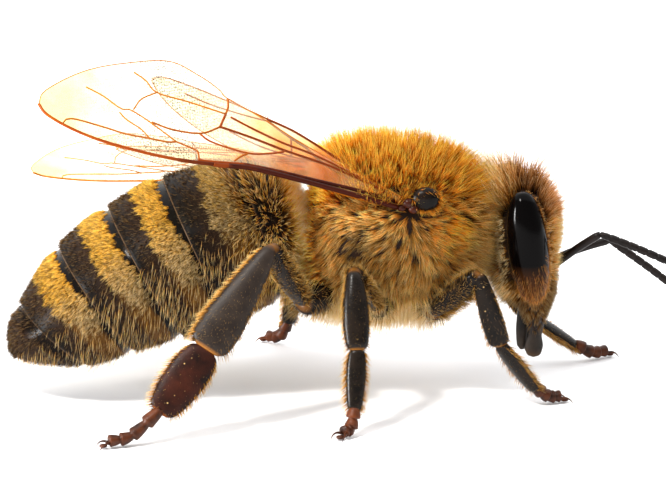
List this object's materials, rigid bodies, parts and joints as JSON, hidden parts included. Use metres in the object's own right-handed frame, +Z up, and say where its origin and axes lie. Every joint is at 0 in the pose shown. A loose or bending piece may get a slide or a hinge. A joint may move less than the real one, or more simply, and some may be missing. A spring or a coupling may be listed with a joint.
{
  "type": "honey bee",
  "caption": "Life-size still model of a worker honey bee, standing on her feet with wings raised over a banded abdomen and a furry thorax.",
  "frame": {"origin": "on the floor under the middle of the bee's length and width, at the level of the soles of the feet", "axes": "+X towards the head and feelers, +Y to the bee's left side, +Z up"},
  "size_m": [0.0173, 0.0104, 0.0087],
  "materials": {
    "thorax_fur": "dense golden brown hair",
    "head_fur": "short brown hair over a dark shell",
    "abdomen_band": "dark shell with golden hair bands",
    "abdomen_shell": "dark shell",
    "dark_shell": "polished dark shell",
    "eye": "polished black",
    "feeler": "satin black",
    "leg": "glossy dark brown with fringes of hair",
    "foot": "satin orange brown",
    "wing": "clear amber membrane with brown veins"
  },
  "bodies": {
    "root": {"prothorax": "thorax_fur", "mesothorax": "thorax_fur", "scutellum": "thorax_fur", "propodeum": "thorax_fur", "head": "head_fur", "abdomen_1": "abdomen_band", "abdomen_2": "abdomen_band", "abdomen_3": "abdomen_band", "abdomen_4": "abdomen_band", "abdomen_5": "abdomen_band", "abdomen_6": "abdomen_shell", "neck": "dark_shell", "tongue": "dark_shell", "eye_right": "eye", "mandible_right": "dark_shell", "tegula_right": "dark_shell", "scape_right": "feeler", "flagellum_right": "feeler", "forewing_right": "wing", "hindwing_right": "wing", "eye_left": "eye", "mandible_left": "dark_shell", "tegula_left": "dark_shell", "scape_left": "feeler", "flagellum_left": "feeler", "forewing_left": "wing", "hindwing_left": "wing", "coxa_front_right": "leg", "femur_front_right": "leg", "tibia_front_right": "leg", "basitarsus_front_right": "leg", "tarsus_front_right": "foot", "coxa_front_left": "leg", "femur_front_left": "leg", "tibia_front_left": "leg", "basitarsus_front_left": "leg", "tarsus_front_left": "foot", "coxa_middle_right": "leg", "femur_middle_right": "leg", "tibia_middle_right": "leg", "basitarsus_middle_right": "leg", "tarsus_middle_right": "foot", "coxa_middle_left": "leg", "femur_middle_left": "leg", "tibia_middle_left": "leg", "basitarsus_middle_left": "leg", "tarsus_middle_left": "foot", "coxa_hind_right": "leg", "femur_hind_right": "leg", "tibia_hind_right": "leg", "basitarsus_hind_right": "leg", "tarsus_hind_right": "foot", "coxa_hind_left": "leg", "femur_hind_left": "leg", "tibia_hind_left": "leg", "basitarsus_hind_left": "leg", "tarsus_hind_left": "foot"}
  },
  "joints": []
}
